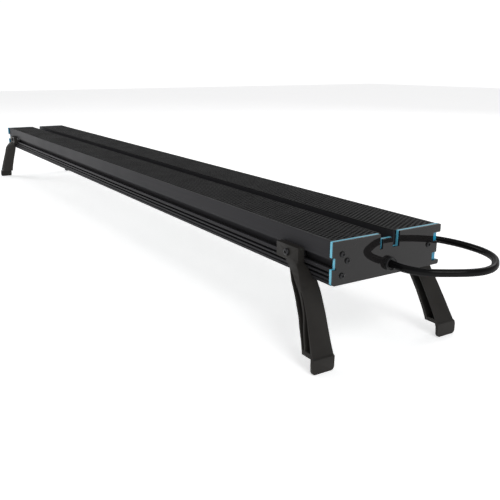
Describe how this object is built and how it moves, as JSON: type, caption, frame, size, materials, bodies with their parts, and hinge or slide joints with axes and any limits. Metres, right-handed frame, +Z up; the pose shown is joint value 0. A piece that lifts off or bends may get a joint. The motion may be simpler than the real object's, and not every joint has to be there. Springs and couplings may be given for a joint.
{
  "type": "led aquarium light",
  "caption": "Slim LED light bar for an aquarium: finned black extrusion, perforated grille, layered end plates, sliding rim legs and a low-voltage lead.",
  "frame": {"origin": "middle of the light in plan, on the plane of the leg tabs' feet", "axes": "+X along the light towards the end that the lead leaves, +Y to the rear, +Z up"},
  "size_m": [1.2943, 0.2571, 0.1147],
  "materials": {
    "anodised_body": "satin black anodised",
    "grille_black": "powder coated black",
    "gloss_black": "polished black acrylic",
    "blue_acrylic": "polished translucent blue acrylic",
    "seal_rubber": "matte",
    "screw_black": "blackened",
    "slot_nut_steel": "zinc plated",
    "board_white": "white solder mask",
    "led_white": "phosphor dome",
    "led_blue": "clear dome",
    "steel_plain": "plain",
    "clear_cover": "clear polished",
    "board_green": "green solder mask",
    "component_dark": "moulded",
    "terminal_green": "moulded",
    "wire_red": "matte",
    "lead_black": "smooth jacket",
    "gland_black": "moulded nylon",
    "leg_black": "moulded, fine texture",
    "tie_black": "woven hook-and-loop",
    "connector_black": "moulded",
    "pin_brass": "plated"
  },
  "bodies": {
    "light": {"housing_extrusion": "anodised_body", "front_mesh_grille": "grille_black", "rear_mesh_grille": "grille_black", "end_plate_right": "gloss_black", "end_plate_left": "gloss_black", "blue_plate_right": "blue_acrylic", "blue_plate_left": "blue_acrylic", "end_seal_right": "seal_rubber", "end_seal_left": "seal_rubber", "end_screws_right": "screw_black", "end_screws_left": "screw_black", "led_board_left": "board_white", "led_board_middle": "board_white", "led_board_right": "board_white", "white_leds": "led_white", "blue_leds": "led_blue", "board_screws": "steel_plain", "splash_cover": "clear_cover", "driver_board": "board_green", "driver_components": "component_dark", "terminal_block": "terminal_green", "jumper_wires": "wire_red", "lead_inner_end": "lead_black", "lead_wires": "wire_red", "gland_body": "gland_black", "gland_lock_nut": "gland_black", "gland_seal": "seal_rubber", "gland_nose_nut": "gland_black", "power_cord": "lead_black", "cord_hank": "lead_black", "cord_tie": "tie_black", "cord_tail": "lead_black", "connector_body": "connector_black", "connector_ring": "connector_black", "connector_pins": "pin_brass"},
    "leg_front_right": {"leg_front_right": "leg_black", "leg_screw_front_right": "screw_black", "slot_nut_front_right": "slot_nut_steel"},
    "leg_rear_right": {"leg_rear_right": "leg_black", "leg_screw_rear_right": "screw_black", "slot_nut_rear_right": "slot_nut_steel"},
    "leg_front_left": {"leg_front_left": "leg_black", "leg_screw_front_left": "screw_black", "slot_nut_front_left": "slot_nut_steel"},
    "leg_rear_left": {"leg_rear_left": "leg_black", "leg_screw_rear_left": "screw_black", "slot_nut_rear_left": "slot_nut_steel"}
  },
  "joints": [
    {"name": "front_right_leg_slide", "type": "slide", "parent": "light", "child": "leg_front_right", "axis": [1, 0, 0], "range_m": [-0.48, 0.024]},
    {"name": "rear_right_leg_slide", "type": "slide", "parent": "light", "child": "leg_rear_right", "axis": [1, 0, 0], "range_m": [-0.48, 0.024]},
    {"name": "front_left_leg_slide", "type": "slide", "parent": "light", "child": "leg_front_left", "axis": [-1, 0, 0], "range_m": [-0.48, 0.024]},
    {"name": "rear_left_leg_slide", "type": "slide", "parent": "light", "child": "leg_rear_left", "axis": [-1, 0, 0], "range_m": [-0.48, 0.024]}
  ]
}
